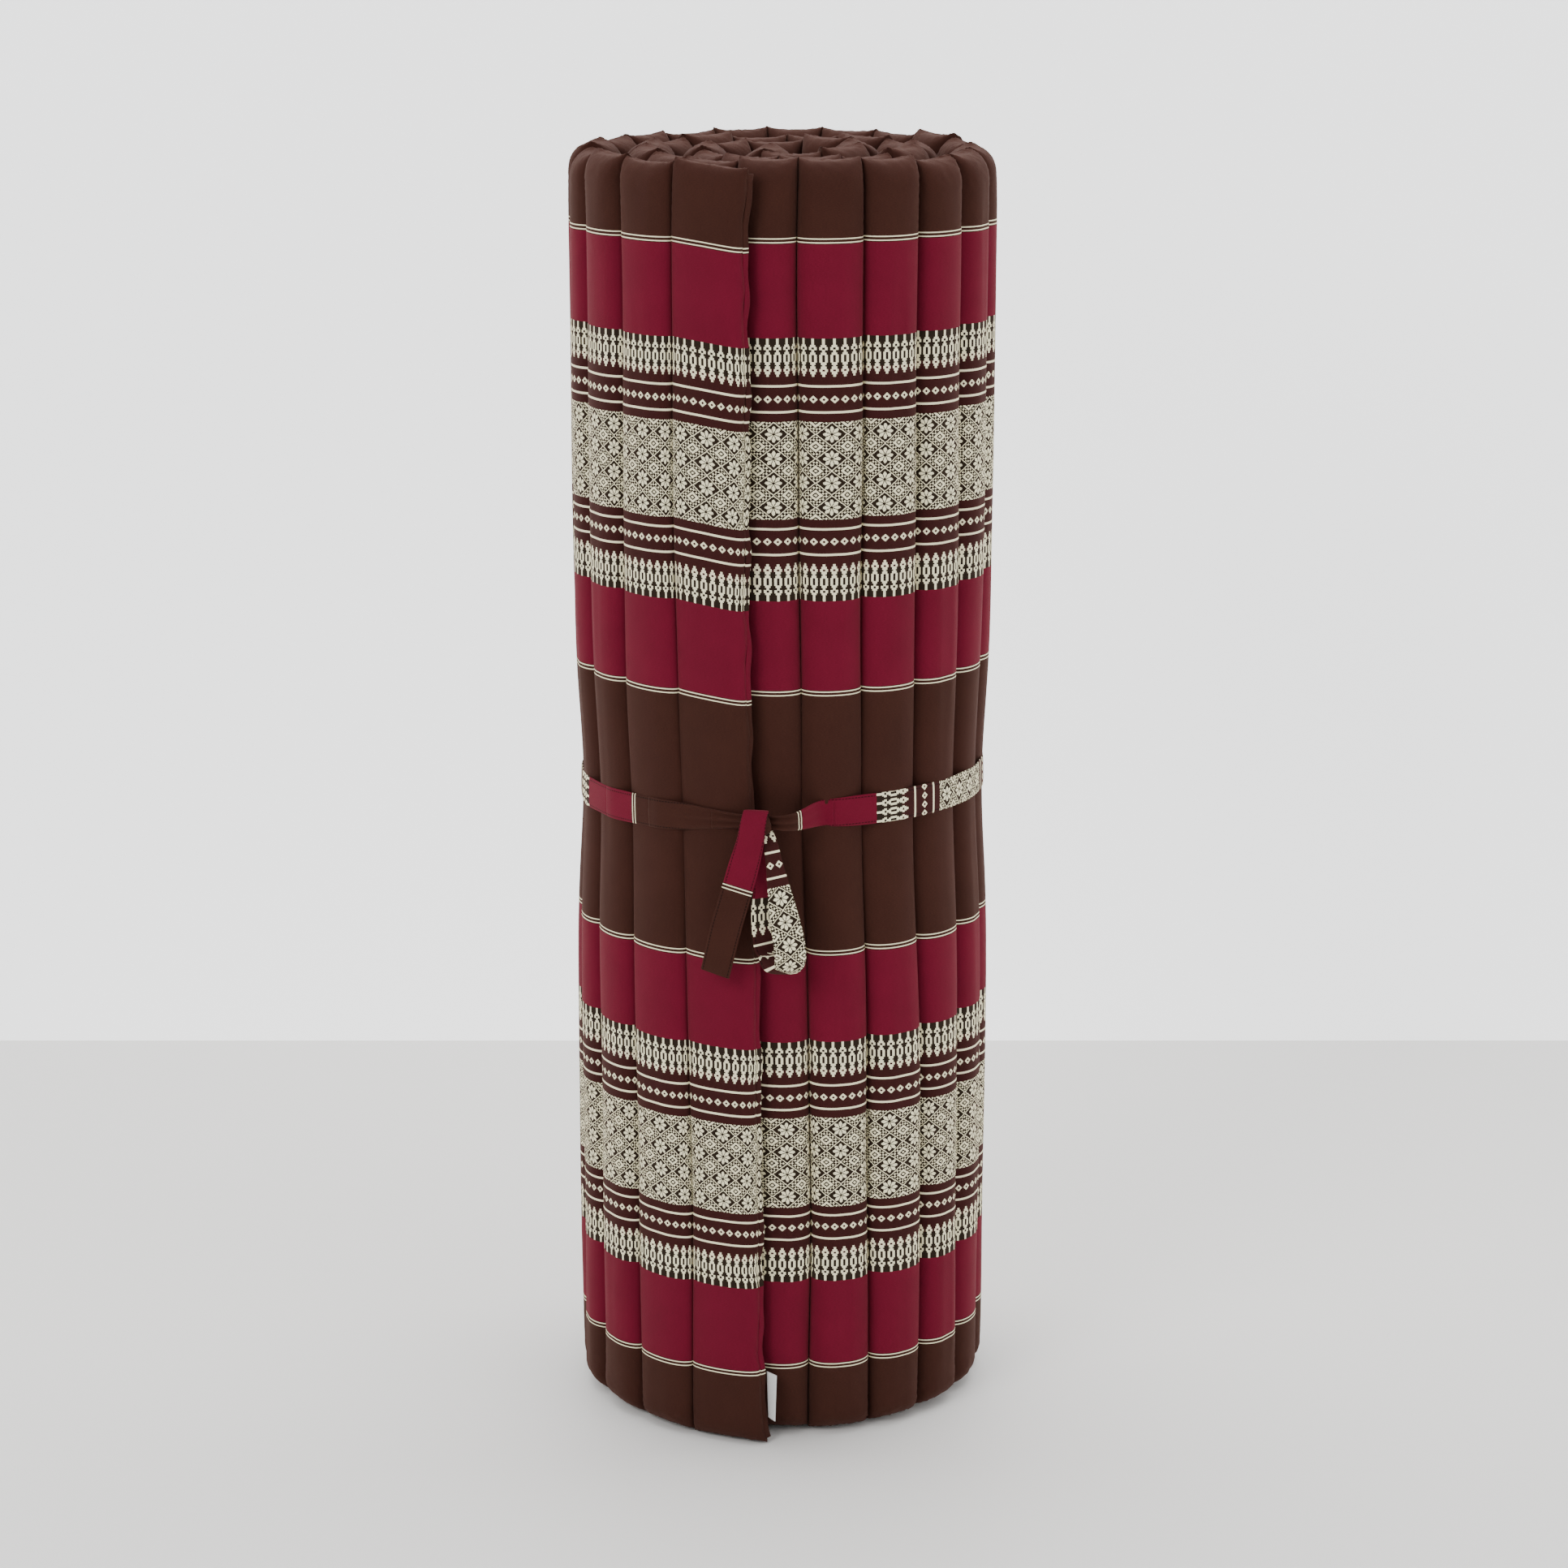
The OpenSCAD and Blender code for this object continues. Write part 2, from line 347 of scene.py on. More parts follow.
def woven_cotton(name, stitched=0.0):
    """The mattress cloth. With stitched set, rows of dark stitches run that far from u = 0 on both sides."""
    finish = bpy.data.materials.new(name)
    finish.use_nodes = True
    tree = finish.node_tree
    Field.tree = tree
    shader = tree.nodes["Principled BSDF"]
    shader.inputs["Roughness"].default_value = 0.9
    shader.inputs["Specular IOR Level"].default_value = 0.12
    shader.inputs["Sheen Weight"].default_value = 0.07
    shader.inputs["Sheen Roughness"].default_value = 0.5
    shader.inputs["Sheen Tint"].default_value = (1.0, 0.55, 0.42, 1)

    place = tree.nodes.new("ShaderNodeUVMap")
    place.uv_map = "cloth"
    parts = tree.nodes.new("ShaderNodeSeparateXYZ")
    tree.links.new(place.outputs[0], parts.inputs[0])
    u, v = Field(parts.outputs[0]), Field(parts.outputs[1])

    threads = speckle(scaled(place.outputs[0], (1, 4.5, 1)), 620, 3)
    cloudy = speckle(place.outputs[0], 28, 3)
    s = abs(v - 0.5) - flowers_from_middle
    d = abs(s)
    lines = either(*[abs(d - at) < thin_line_half for at in thin_line_at])
    double = either(*[abs(d - at) < double_line_half for at in double_line_at])
    in_flowers = d < flowers_half
    figured = either(
        in_flowers * lattice(u, s),
        between(d, spire_tip_at, spire_foot_at) * spire(u, d),
        diamond(u, d) * (abs(d - diamonds_at) < 4 * mm),
        lines,
        double,
    )
    ground = mixed(between(d, spire_foot_at, red_ends_at), brown, red)
    ground = mixed(between(d, flowers_half, spire_tip_at + 6 * mm), ground, wine_brown)
    ground = mixed(between(d, spire_tip_at + 6 * mm, spire_foot_at), ground, olive_brown)
    ground = mixed(in_flowers, ground, olive_brown)
    lit = (threads - 0.5) * 0.9 + (cloudy - 0.5) * 0.3 + 1.0
    stitches = None
    if stitched:
        stitches = (abs(abs(u) - stitched) < 0.45 * mm) * ((v * (1 / (2.6 * mm))).math("FRACT") < 0.74)
        lit = lit * (stitches * -0.62 + 1)
    bright = tree.nodes.new("ShaderNodeHueSaturation")
    tree.links.new(ground, bright.inputs["Color"])
    tree.links.new(lit.socket, bright.inputs["Value"])
    yarn = tree.nodes.new("ShaderNodeHueSaturation")
    yarn.inputs["Color"].default_value = cream
    tree.links.new(((threads - 0.5) * 0.35 + 1.02).socket, yarn.inputs["Value"])
    color = mixed(figured, bright.outputs[0], yarn.outputs[0])
    tree.links.new(color, shader.inputs["Base Color"])

    ribs_u = (u * (2 * math.pi / (0.75 * mm))).math("SINE")
    ribs_v = (v * (2 * math.pi / (0.75 * mm))).math("SINE")
    relief = ribs_u * ribs_v * 0.35 + threads * 0.6
    relief = relief + figured * 0.35
    creases = speckle(scaled(place.outputs[0], (1, 0.4, 1)), 42, 3)
    relief = relief + creases * 7.0
    if stitches:
        relief = relief - stitches * 1.5
    bump = tree.nodes.new("ShaderNodeBump")
    bump.inputs["Strength"].default_value = 0.3
    bump.inputs["Distance"].default_value = 0.3 * mm
    tree.links.new(relief.socket, bump.inputs["Height"])
    tree.links.new(bump.outputs[0], shader.inputs["Normal"])
    return finish


casing_cotton = woven_cotton("casing_cotton")
print("casing cotton has", len(casing_cotton.node_tree.nodes), "nodes")


# %% [markdown]
# ## Where the seams are
# A seam is a hinge in the design, so its place is read from there. The two ends of the mattress have no
# hinge; they are found from the plan of the first and the last channel. Its long direction is the one
# along which its corners spread the most.

# %% Read the seams
channel_names = sorted(name for name in frame["nodes"] if name.startswith("channel_"))
count = len(channel_names)
seam = np.zeros((count + 1, 2))
for joint in frame["joints"]:
    pair = {joint["parent"], joint["child"]}
    if pair <= set(channel_names):
        seam[max(channel_names.index(name) for name in pair)] = joint["pos_m"][:2]
seam_gap = 0.8 * mm


def plan_corners(node):
    """Plan view of a design node's corners, as an array with a row for each."""
    mesh = frame["nodes"][node].data
    corners = np.empty(len(mesh.vertices) * 3)
    mesh.vertices.foreach_get("co", corners)
    return corners.reshape(-1, 3)[:, :2]


def far_end(node, hinge):
    """The seam point at the free end of an end channel: the hinge, moved along the channel's long direction
    by its length and the gap that every tube keeps from its seams."""
    corners = plan_corners(node)
    middle = (corners.min(0) + corners.max(0)) / 2
    spread, directions = np.linalg.eigh(np.cov((corners - middle).T))
    along = directions[:, -1] * np.sign(directions[:, -1] @ (middle - hinge))
    reach = ((corners - hinge) @ along).max()
    return hinge + along * (reach + seam_gap)


seam[0] = far_end(channel_names[0], seam[1])
seam[count] = far_end(channel_names[-1], seam[count - 1])
chord = seam[1:] - seam[:-1]
width = np.linalg.norm(chord, axis=1)
along = chord / width[:, None]
outward = np.stack([-along[:, 1], along[:, 0]], 1)
heading = np.unwrap(np.arctan2(along[:, 1], along[:, 0]))
bend = np.zeros(count + 1)
bend[1:-1] = -np.diff(heading)
deep = np.array([np.ptp(plan_corners(name) @ out) for name, out in zip(channel_names, outward)])
height = design_high[2]
sample = [0, 1, 20, 43]
print(count, "channels; four widths in mm:", np.round(width[sample] / mm, 1))
print("their depths in mm:", np.round(deep[sample] / mm, 1))
print("bends in degrees:", np.round(np.degrees(bend[[1, 10, 20, 43]]), 1))


# %% [markdown]
# ## One stuffed channel
# A channel is a long pillow: two layers of cloth joined along both seams and along a hem at each end, filled
# with kapok. A cylinder would miss what makes it cloth: the squared section where neighbours press on each
# other, the end that closes to a straight hem, and the little ears where hem and seam meet. So its surface is
# a squared oval carried up the channel, flattened to a line at both ends. Then a cloth simulation blows a
# short length of it up a little, with the seams held, and its puckers are added to every channel.

# %% A closed skin from rings
ring_points = 64


def skin(name, rings, cloth_uv, finish):
    """A mesh from rings of points, one above the other, as an array of rings by points by 3.
    Each ring starts at one flat edge, goes over the front to the other edge and comes back behind, so its
    two ends are closed by joining each front point to the back point across from it."""
    rows, around = rings.shape[:2]
    index = np.arange(rows * around).reshape(rows, around)
    nxt = np.roll(index, -1, 1)
    walls = np.stack([index[:-1], index[1:], nxt[1:], nxt[:-1]], -1).reshape(-1, 4)
    half = around // 2
    k = np.arange(1, half - 1)

    def lid(row, up):
        quads = np.stack([row[k], row[k + 1], row[around - k - 1], row[around - k]], -1)
        tips = [(row[0], row[1], row[-1]), (row[half], row[half + 1], row[half - 1])]
        return [tuple(q[::-1] if up else q) for q in quads.tolist()] + [t[::-1] if up else t for t in tips]

    faces = walls.tolist() + lid(index[0], False) + lid(index[-1], True)
    mesh = bpy.data.meshes.new(name)
    mesh.from_pydata(rings.reshape(-1, 3), [], faces)
    corner = np.empty(len(mesh.loops), np.int32)
    mesh.loops.foreach_get("vertex_index", corner)
    layer = mesh.uv_layers.new(name="cloth")
    layer.data.foreach_set("uv", cloth_uv.reshape(-1, 2)[corner].astype(np.float32).ravel())
    mesh.polygons.foreach_set("use_smooth", np.ones(len(mesh.polygons), bool))
    mesh.materials.append(finish)
    piece = bpy.data.objects.new(name, mesh)
    bpy.context.collection.objects.link(piece)
    return piece


# %% The plain pillow
def oval(points, power):
    """Squared oval, x and y from -1 to 1: |x| and |y| to the power add up to 1. Evenly spaced along its
    length, from the edge at x = -1 over y > 0 to x = 1 and back under."""
    q = np.pi - np.linspace(0, 2 * np.pi, 4001)
    x = np.sign(np.cos(q)) * np.abs(np.cos(q)) ** (2 / power)
    y = np.sign(np.sin(q)) * np.abs(np.sin(q)) ** (2 / power)
    run = np.concatenate([[0], np.cumsum(np.hypot(np.diff(x), np.diff(y)))])
    at = np.arange(points) * run[-1] / points
    return np.interp(at, run, x), np.interp(at, run, y)


dome_rows = 12
neck_rows = 26
middle_rows = 60
neck = 75 * mm
top_dome = 21 * mm
foot_dome = 15 * mm
hem_thickness = 0.07


def end_rows(dome):
    """Heights below the hem and flatness, from the straight part to the hem: a quarter of an ellipse."""
    angle = np.linspace(0, np.pi / 2, dome_rows)
    below = dome * (1 - np.sin(angle))
    flat = hem_thickness + (1 - hem_thickness) * np.cos(angle)
    straight = np.linspace(neck, dome, neck_rows + 1)[:-1]
    return np.concatenate([straight, below]), np.concatenate([np.ones(neck_rows), flat])


top_below, top_flat = end_rows(top_dome)
foot_below, foot_flat = end_rows(foot_dome)
oval_x, oval_y = oval(ring_points, 2.9)


def pillow(tall, rows_between):
    """Rings of a pillow of unit half width and unit half thickness and the given height: x, y and z."""
    between = np.linspace(neck, tall - neck, rows_between + 2)[1:-1]
    z = np.concatenate([foot_below[::-1], between, tall - top_below])
    flat = np.concatenate([foot_flat[::-1], np.ones(rows_between), top_flat])
    x = oval_x + 0 * z[:, None]
    y = oval_y * flat[:, None]
    sunk = (1 - flat)[:, None] * (1 - np.abs(x) ** 3)
    z = z[:, None] + sunk * np.where(z > tall / 2, -3.2 * mm, 1.2 * mm)[:, None]
    return x, y, z


# %% Blow a short pillow up
nominal_half = 22.0 * mm
nominal_deep = 20.0 * mm
short = 2 * neck + 10 * mm
short_rows = 3


def puckers(seed):
    """How far each point of a short pillow moves when it is filled: cloth cut a little wider than the
    pillow at both hems, held along the seams and the hems, with air pressure inside."""
    rng = np.random.default_rng(seed)
    x, y, z = pillow(short, short_rows)
    start = np.stack([x * nominal_half, y * nominal_deep, z], -1)
    near_hem = np.exp(-np.minimum(z, short - z) / (26 * mm))
    slack = 1 + 0.10 * near_hem
    ease = rng.normal(0, 0.25 * mm, start.shape) * near_hem[..., None]
    cut = start * np.stack([slack, slack, 1 + 0.02 * near_hem], -1)
    cut[..., 2] = (start[..., 2] - short / 2) * 1.015 + short / 2
    rows = start.shape[0]
    held = np.zeros((rows, ring_points), bool)
    held[:, [0, ring_points // 2]] = True
    held[[0, -1]] = True
    pad = skin("blown_pad", start + ease, np.zeros((rows, ring_points, 2)), casing_cotton)
    pad.shape_key_add(name="start")
    key = pad.shape_key_add(name="cut")
    key.data.foreach_set("co", cut.ravel())
    group = pad.vertex_groups.new(name="held")
    group.add(np.flatnonzero(held.ravel()).tolist(), 1.0, "REPLACE")
    cloth = pad.modifiers.new("fill", "CLOTH")
    cloth.settings.vertex_group_mass = "held"
    cloth.settings.rest_shape_key = key
    cloth.settings.quality = 5
    cloth.settings.bending_stiffness = 0.3
    cloth.settings.use_pressure = True
    cloth.settings.uniform_pressure_force = 4
    cloth.settings.effector_weights.gravity = 0
    for frame_number in range(1, 21):
        bpy.context.scene.frame_set(frame_number)
    filled = pad.evaluated_get(bpy.context.evaluated_depsgraph_get()).data
    after = np.empty(start.size)
    filled.vertices.foreach_get("co", after)
    bpy.context.scene.frame_set(1)
    mesh = pad.data
    bpy.data.objects.remove(pad)
    bpy.data.meshes.remove(mesh)
    move = after.reshape(start.shape) - start
    far = np.linalg.norm(move, axis=-1, keepdims=True)
    return move * np.minimum(1, 3.5 * mm / np.maximum(far, 1e-9))


variants = [puckers(seed) for seed in (3, 8, 21, 34)]
print("puckers move the cloth by up to", [round(float(np.abs(v).max() / mm), 2) for v in variants], "mm")


# %% [markdown]
# ## Into the roll
# Every channel starts as the same pillow, and is fitted between its own two seams: scaled to their distance
# and to its depth, narrowed on the inside of the curve, where the seams' angles leave less room, and spread a
# little into the valleys on the outside. The whole roll then settles: the tie draws its waist in by 6 mm
# and the roll twists by 2 degrees one way at the foot and the other way at the top, as one wound by hand does.
# Neighbours overlap a little at their seam, more at the waist, so that no light comes through it.

# %% Settle
roll_middle = (np.array(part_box("tie_band")[0]) + np.array(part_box("tie_band")[1])) / 2
tie_height = roll_middle[2]
outer_radius = np.linalg.norm(seam[10] - roll_middle[:2]) + deep[10] / 2
waist_in = 6 * mm
waist_reach = 85 * mm
twist_by = math.radians(2.0)
twist_middle = 0.42
twist_reach = 0.16


def waist_bell(up):
    """1 at the tie's height, falling off above and below it as a bell curve."""
    return np.exp(-((up - tie_height) / waist_reach) ** 2)


def settled(points):
    """Points of the roll after tying. Each moves towards the roll's middle by a bell curve of its height
    times the cube of its share of the radius, and turns about the middle by a smooth step of its height."""
    out = np.array(points, float)
    side = out[..., :2] - roll_middle[:2]
    radius = np.linalg.norm(side, axis=-1)
    share = np.minimum(1.1, radius / outer_radius)
    up = out[..., 2]
    drawn = waist_in * share ** 3 * waist_bell(up)
    scale = 1 - drawn / np.maximum(radius, 1 * mm)
    turn = twist_by * np.tanh((twist_middle - up) / twist_reach)
    c, s = np.cos(turn), np.sin(turn)
    out[..., 0] = roll_middle[0] + (side[..., 0] * c - side[..., 1] * s) * scale
    out[..., 1] = roll_middle[1] + (side[..., 0] * s + side[..., 1] * c) * scale
    return out


# %% Fit a pillow between its seams
golden = 2.39996
seam_overlap = 0.1 * mm
waist_overlap = 1.4 * mm
corner_flare = 6.5 * mm
flare_height = 24 * mm
valley_spread = 2.2 * mm


def seam_sway(number, z):
    """How far a seam strays sideways at a height: three slow waves, different for every seam. The free edge
    also flares at both corners, where there is too little kapok to pull the cloth in."""
    flare = np.exp(-z / flare_height) + np.exp((z - height) / flare_height)
    ripple = 0.8 * mm * np.sin(95 * z) + 0.5 * mm * np.sin(171 * z + 1)
    free_edge = (number == 0) * (ripple - corner_flare * flare)
    waves = (0.9 * np.sin(7 * z + golden * number) + 0.6 * np.sin(13 * z + 3.1 * number)
             + 0.35 * np.sin(29 * z + 5.3 * number))
    return free_edge + mm * waves


def between_seams(i, x, y, z):
    """Points of channel i in the roll from pillow units: x across from seam to seam, y outwards."""
    half = width[i] / 2
    thick = y * deep[i] / 2
    inside, outside = np.maximum(-thick, 0), np.maximum(thick, 0)
    overlap = seam_overlap + waist_overlap * waist_bell(z)
    reach = []
    for seam_bend in (bend[i], bend[i + 1]):
        slope = math.tan(seam_bend / 2)
        spread = valley_spread * np.tanh(outside * slope / valley_spread)
        reach.append(half + overlap - inside * slope + 0.8 * spread)
    across = x * np.where(x < 0, reach[0], reach[1])
    across = across + seam_sway(i, z) * (1 - x) / 2 + seam_sway(i + 1, z) * (1 + x) / 2
    middle = (seam[i] + seam[i + 1]) / 2
    plan = middle + across[..., None] * along[i] + thick[..., None] * outward[i]
    return settled(np.concatenate([plan, z[..., None]], -1))


# %% Sew the channels
cloth_per_width = 1.62
casing_run = np.concatenate([[0], np.cumsum(width * cloth_per_width)])
low_rows = len(foot_below)
free_edge_drop = 6 * mm


def dropped(z):
    """How far the free edge hangs down at a height: nothing near the foot, and the full drop high up."""
    return free_edge_drop * np.clip((z - 0.2) / 0.5, 0, 1)


def channel_pad(i):
    """Channel i: the pillow with one variant's puckers, a slow swell of its own and its place in the roll."""
    rng = np.random.default_rng(100 + i)
    x, y, z = pillow(height, middle_rows)
    move = variants[i % len(variants)]
    if i % 3 == 1:
        move = move[:, (ring_points // 2 - np.arange(ring_points)) % ring_points] * (-1, 1, 1)
    rows = np.concatenate([np.arange(low_rows), np.full(middle_rows, low_rows + 1),
                           np.arange(low_rows + short_rows, len(move))])
    move = move[rows]
    shaped_x = x + move[..., 0] / nominal_half
    shaped_y = y + move[..., 1] / nominal_deep
    swell = 1 + 0.022 * np.sin(11 * z + rng.uniform(0, 6)) + 0.015 * np.sin(23 * z + rng.uniform(0, 6))
    shaped_x = np.clip(shaped_x, -1, 1)
    shaped_y = np.clip(shaped_y * swell, -1.045, 1.045)
    foot_lift, top_drop = rng.uniform(0, 2.5 * mm), rng.uniform(-1 * mm, 4 * mm)
    z_new = z + move[..., 2]
    z_new = foot_lift + (z_new - z_new.min()) * (height - foot_lift - top_drop) / np.ptp(z_new)
    run = np.linalg.norm(np.diff(np.stack([shaped_y * deep[i] / 2, z_new], -1), axis=0), axis=-1)
    v = np.concatenate([np.zeros((1, ring_points)), np.cumsum(run, 0)])
    centre = len(v) // 2
    v = v - v[centre] + z_new[centre] + rng.normal(0, 0.5 * mm)
    if i == 0:
        z_new = z_new - dropped(z) * ((1 - x) / 2) ** 1.5
    step = np.minimum(np.arange(ring_points), ring_points - np.arange(ring_points)) * 2 / ring_points
    u = casing_run[i] + step * (casing_run[i + 1] - casing_run[i]) + 0 * v
    rings = between_seams(i, shaped_x, shaped_y, z_new)
    pad = skin(f"{channel_names[i]}_pad", rings, np.stack([u, v], -1), casing_cotton)
    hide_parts(channel_names[i])
    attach(pad, channel_names[i])
    return pad


pads = [channel_pad(i) for i in range(count)]
print(count, "channels,", sum(len(p.data.polygons) for p in pads), "faces in all")


# %% [markdown]
# ## The hems
# Both raw ends of the cloth are turned in and stitched: a flat, stiff edge as thick as four layers of cotton.
# The outer one lies pressed against the turn below, and carries the cloth's own bands down the front of the
# roll. It could be an edge of the last channel's mesh, but on the real one it is flatter and stiffer.

# %% A strip along a path
ribbon_points = 24


def unit(vectors):
    """The vectors scaled to length 1, along the last axis."""
    return vectors / np.linalg.norm(vectors, axis=-1, keepdims=True)


def ribbon(name, path, face, half_width, thick, cloth_at, cloth_over, finish, power=2.7):
    """A closed flat tube: at each point of the path a squared oval section, half_width across and thick.
    face is the direction that its flat side looks at each point. cloth_at is u and v at the path's middle,
    and cloth_over is how much u and v grow for each metre across."""
    path, face = np.array(path, float), np.array(face, float)
    rows = len(path)
    run = unit(np.gradient(path, axis=0))
    face = unit(face - (face * run).sum(1, keepdims=True) * run)
    across = np.cross(run, face)
    x, y = oval(ribbon_points, power)
    half_width = np.broadcast_to(np.array(half_width, float), rows)[:, None]
    thick = np.broadcast_to(np.array(thick, float), rows)[:, None]
    side = x * half_width
    rings = path[:, None] + side[..., None] * across[:, None] + (y * thick / 2)[..., None] * face[:, None]
    uv = np.array(cloth_at)[:, None] + side[..., None] * np.array(cloth_over)
    return skin(name, rings, uv, finish)


def smooth_path(points, count_out):
    """A smooth line through a few points, evened out along its length. Between points b and c, with a before
    and d after them, it is the Catmull-Rom curve: it passes through b and c along the lines a-c and b-d."""
    p = np.array(points, float)
    p = np.concatenate([2 * p[:1] - p[1:2], p, 2 * p[-1:] - p[-2:-1]])
    t = np.linspace(0, 1, 30)[:-1, None]
    parts = [0.5 * (2 * b + (c - a) * t + (2 * a - 5 * b + 4 * c - d) * t ** 2
                    + (3 * b - a - 3 * c + d) * t ** 3)
             for a, b, c, d in zip(p[:-3], p[1:-2], p[2:-1], p[3:])]
    line = np.concatenate(parts + [p[-2:-1]])
    run = np.concatenate([[0], np.cumsum(np.linalg.norm(np.diff(line, axis=0), axis=1))])
    at = np.linspace(0, run[-1], count_out)
    return np.stack([np.interp(at, run, line[:, k]) for k in range(line.shape[1])], 1)


def run_along(path):
    """Distance from the start of the path to each of its points."""
    return np.concatenate([[0], np.cumsum(np.linalg.norm(np.diff(path, axis=0), axis=1))])


# %% Hem strips
hem_rows = 160
hem_half = 2.6 * mm
hem_ends = 4 * mm
hem_thick = 1.9 * mm
hem_sewn_in = 1.2 * mm
hem_lean = math.radians(62)


def hem_strip(node, body, end, towards, lean):
    """A hem along one end of the mattress. It starts at the end seam and leans by an angle from the channel's
    own direction; small waves along it are where the machine has drawn the cloth in."""
    z = np.linspace(hem_ends, height - hem_ends, hem_rows)
    i = 0 if end == 0 else count - 1
    c, s = math.cos(lean), math.sin(lean)
    out = towards * along[i]
    lie = np.array([out[0] * c - out[1] * s, out[0] * s + out[1] * c])
    face = np.array([-lie[1], lie[0]])
    wave = 0.45 * mm * np.sin(z / (17 * mm)) + 0.3 * mm * np.sin(z / (6.1 * mm) + 1)
    plan = seam[end] + seam_sway(end, z)[:, None] * along[i] + lie * (hem_half - hem_sewn_in)
    plan = plan + face * wave[:, None]
    path = settled(np.concatenate([plan, z[:, None]], 1))
    if end == 0:
        path[:, 2] -= dropped(z)
    ear = 1 + 0.5 * np.exp(-z / (9 * mm)) + 0.6 * np.exp((z - height) / (9 * mm))
    u = casing_run[end] + 0 * z
    strip = ribbon(f"{node}_strip", path, np.tile([*face, 0], (hem_rows, 1)), hem_half * ear, hem_thick,
                   np.stack([u, z], 1), (1, 0), casing_cotton)
    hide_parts(node)
    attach(strip, body)
    return strip


hem_strip("outer_hem", channel_names[0], 0, -1, hem_lean)
hem_strip("inner_hem", channel_names[-1], count, 1, -hem_lean)
print("hems are on")


# %% [markdown]
# ## The tie
# The tie is a long strip cut from the same cloth along the mattress's width, folded lengthwise and stitched
# near both edges. Its colours are therefore the cloth's own bands, met one after the other along the strip.
# It crosses many hinges, so it is made in short lengths, one over each seam. The first and the last
# length go with the channel that they lie on; the lengths between them stay where they are made.

# %% The strap's route round the waist
tie_low, tie_high = (np.array(corner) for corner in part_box("tie_band"))
knot_low, knot_high = (np.array(corner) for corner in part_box("tie_knot"))
knot_middle = (knot_low + knot_high) / 2
strap_half = (tie_high[2] - tie_low[2]) / 2
strap_thick = 1.8 * mm
knot_arm = 4 * mm


def round_angle(points):
    """How far round the roll points lie from the knot, in radians, leftwards and then behind it."""
    side = np.array(points)[..., :2] - roll_middle[:2]
    start = knot_middle[:2] - roll_middle[:2]
    return (math.atan2(start[1], start[0]) - np.arctan2(side[..., 1], side[..., 0])) % (2 * math.pi)


def strap_height(angle):
    """The strap sits a little lower at the back and the left than at the front and the right."""
    return tie_height + 4.0 * mm * np.cos(angle) - 4.5 * mm * np.sin(angle)


def crest_points():
    """Where the strap touches the pads: three points over each channel of the outer turn, and which channel."""
    points, owners = [], []
    for i in range(count):
        middle = (seam[i] + seam[i + 1]) / 2
        angle = round_angle(middle)
        if i > 24 or (i > 12 and (angle < math.radians(90) or angle > math.radians(351))):
            break
        for share in (-0.27, 0.0, 0.27):
            place = middle + along[i] * width[i] * share
            points.append(place + outward[i] * (deep[i] / 2 * (1 - abs(share) ** 3) + strap_thick / 2))
            owners.append(i)
    return np.array(points), np.array(owners)


crest, crest_owner = crest_points()
last_channel = int(crest_owner[-1])
crest_angle = round_angle(crest)
crest_angle[:3] = np.where(crest_angle[:3] > math.pi, 0, crest_angle[:3])
keep = crest_angle > math.radians(7)
strap_points = np.concatenate([
    [knot_middle[:2] + (-knot_arm, 6 * mm)], crest[keep],
    [knot_middle[:2] + (26 * mm, 1.5 * mm)], [knot_middle[:2] + (knot_arm, 5 * mm)],
])
line_points = 900
flat_line = smooth_path(strap_points, line_points)
turned = round_angle(flat_line)
beside_knot = np.arange(line_points) < 100
signed = (turned + math.pi) % (2 * math.pi) - math.pi
line_angle = np.unwrap(np.where(beside_knot, signed, turned))
strap_line = settled(np.concatenate([flat_line, strap_height(line_angle)[:, None]], 1))
strap_run = run_along(strap_line)
strap_length = strap_run[-1]
print("the strap is", round(strap_length, 3), "m long and ends on", channel_names[last_channel])

# %% Lengths of strap
left_start = 0.505
right_start = 0.572
gather = 62 * mm
fold_deep = 1.8 * mm
sewn = channel_names.index("channel_10")


def nearest_run(place):
    """Distance along the strap of its point nearest to a place in plan."""
    gap = np.linalg.norm(flat_line - place, axis=1)
    return strap_run[int(gap.argmin())]


def strap_piece(number, start, stop):
    """One length of the strap. It is gathered towards the knot, where folds run along it: the section narrows
    to half its width, thickens, and its faces ripple."""
    rows = max(8, int((stop - start) / (1.6 * mm)))
    s = np.linspace(start - 0.3 * mm, stop + 0.3 * mm, rows)
    path = np.stack([np.interp(s, strap_run, strap_line[:, k]) for k in range(3)], 1)
    face = np.concatenate([unit(path[:, :2] - roll_middle[:2]), np.full((rows, 1), 0.02)], 1)
    from_knot = np.minimum(s, strap_length - s)
    pinch = np.exp(-((from_knot / gather) ** 2) * 1.6)
    half = strap_half * (1 - 0.55 * pinch) * (1 + 0.012 * np.sin(s / (9 * mm)))
    thick = strap_thick * (1 + 1.4 * pinch)
    v = np.where(s < sewn_run, left_start - s, right_start + (strap_length - s))
    piece = ribbon(f"strap_{number:02d}", path, face, half, thick, np.stack([0 * s, v], 1),
                   (1, 0), tie_cotton, 3.2)
    points = np.empty(len(piece.data.vertices) * 3)
    piece.data.vertices.foreach_get("co", points)
    points = points.reshape(rows, ribbon_points, 3)
    level = (points[..., 2] - path[:, None, 2]) / half[:, None]
    drift = 0.4 * np.sin(s / (14 * mm))[:, None]
    folds = np.sin(level * 7.5 + drift) * pinch[:, None] * fold_deep
    points += folds[..., None] * face[:, None]
    piece.data.vertices.foreach_set("co", points.ravel())
    return piece


